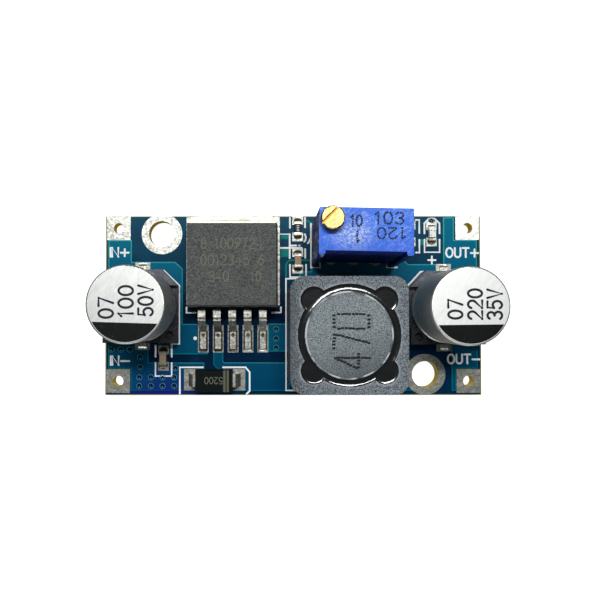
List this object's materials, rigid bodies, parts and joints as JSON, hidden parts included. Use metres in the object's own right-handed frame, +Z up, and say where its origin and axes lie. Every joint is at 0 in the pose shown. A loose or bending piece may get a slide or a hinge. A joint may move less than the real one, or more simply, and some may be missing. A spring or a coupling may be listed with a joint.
{
  "type": "buck converter module",
  "caption": "Small adjustable step-down converter board with shielded inductor, regulator, canned capacitors and a worm-driven trimming screw.",
  "frame": {"origin": "under the middle of the board, at the level of the adjuster's pin tips, the lowest points", "axes": "+X along the board from input to output, +Y towards the adjuster, +Z up out of the component side"},
  "size_m": [0.043, 0.0206, 0.0138],
  "materials": {
    "board_mask": "glossy blue solder mask over glass fibre laminate",
    "tinned_copper": "bright tin over copper",
    "solder": "bright soft solder",
    "lead_metal": "tinned copper, satin",
    "mold_compound": "matt moulding compound",
    "can_aluminium": "brushed top, drawn sides",
    "base_plastic": "black heat-proof plastic",
    "ferrite": "ground grey ferrite",
    "glue": "glossy black adhesive",
    "copper_wire": "enamelled copper wire",
    "adjuster_blue": "speckled blue moulding",
    "screw_brass": "turned brass",
    "ring_rubber": "soft seal rubber",
    "wheel_plastic": "natural nylon",
    "wiper_metal": "spring alloy",
    "element_ceramic": "white alumina with resistive film",
    "seal_resin": "cast resin",
    "resistor_black": "black glaze on alumina",
    "capacitor_tan": "sintered tan ceramic",
    "lamp_plastic": "white laminate",
    "lamp_resin": "clear resin"
  },
  "bodies": {
    "module": {"circuit_board": "board_mask", "board_terminals": "tinned_copper", "mounting_rings": "tinned_copper", "via_barrels": "tinned_copper", "adjuster_pads": "tinned_copper", "component_lands": "tinned_copper", "input_capacitor_base": "base_plastic", "input_capacitor_can": "can_aluminium", "input_capacitor_terminals": "lead_metal", "output_capacitor_base": "base_plastic", "output_capacitor_can": "can_aluminium", "output_capacitor_terminals": "lead_metal", "regulator_tab": "lead_metal", "regulator_mold": "mold_compound", "regulator_leads": "lead_metal", "inductor_shield": "ferrite", "inductor_glue": "glue", "inductor_drum": "ferrite", "inductor_winding": "copper_wire", "inductor_terminals": "lead_metal", "diode_body": "mold_compound", "diode_terminals": "lead_metal", "feedback_resistor_body": "resistor_black", "feedback_resistor_caps": "lead_metal", "feedback_capacitor_body": "capacitor_tan", "feedback_capacitor_caps": "lead_metal", "input_chip_capacitor_body": "capacitor_tan", "input_chip_capacitor_caps": "lead_metal", "lamp_resistor_body": "resistor_black", "lamp_resistor_caps": "lead_metal", "lamp_base_body": "lamp_plastic", "lamp_base_caps": "lead_metal", "lamp_lens": "lamp_resin", "adjuster_housing": "adjuster_blue", "adjuster_ring": "ring_rubber", "adjuster_element": "element_ceramic", "adjuster_pins": "lead_metal", "adjuster_seal": "seal_resin", "adjuster_solder": "solder", "solder_fillets": "solder"},
    "screw": {"adjuster_screw": "screw_brass"},
    "wheel": {"adjuster_wheel": "wheel_plastic", "adjuster_wiper": "wiper_metal"}
  },
  "joints": [
    {"name": "screw_turn", "type": "hinge", "parent": "module", "child": "screw", "pos_m": [0.00344, 0.00843, 0.01247], "axis": [0.0009, 0.041, 0.9992], "range_deg": [-4500, 4500]},
    {"name": "wheel_turn", "type": "hinge", "parent": "module", "child": "wheel", "pos_m": [0.00726, 0.00814, 0.00726], "axis": [0.0209, 0.9989, -0.041], "range_deg": [-150, 150]}
  ],
  "couplings": [
    {"joint": "wheel_turn", "follows": "screw_turn", "ratio": -0.033333}
  ]
}
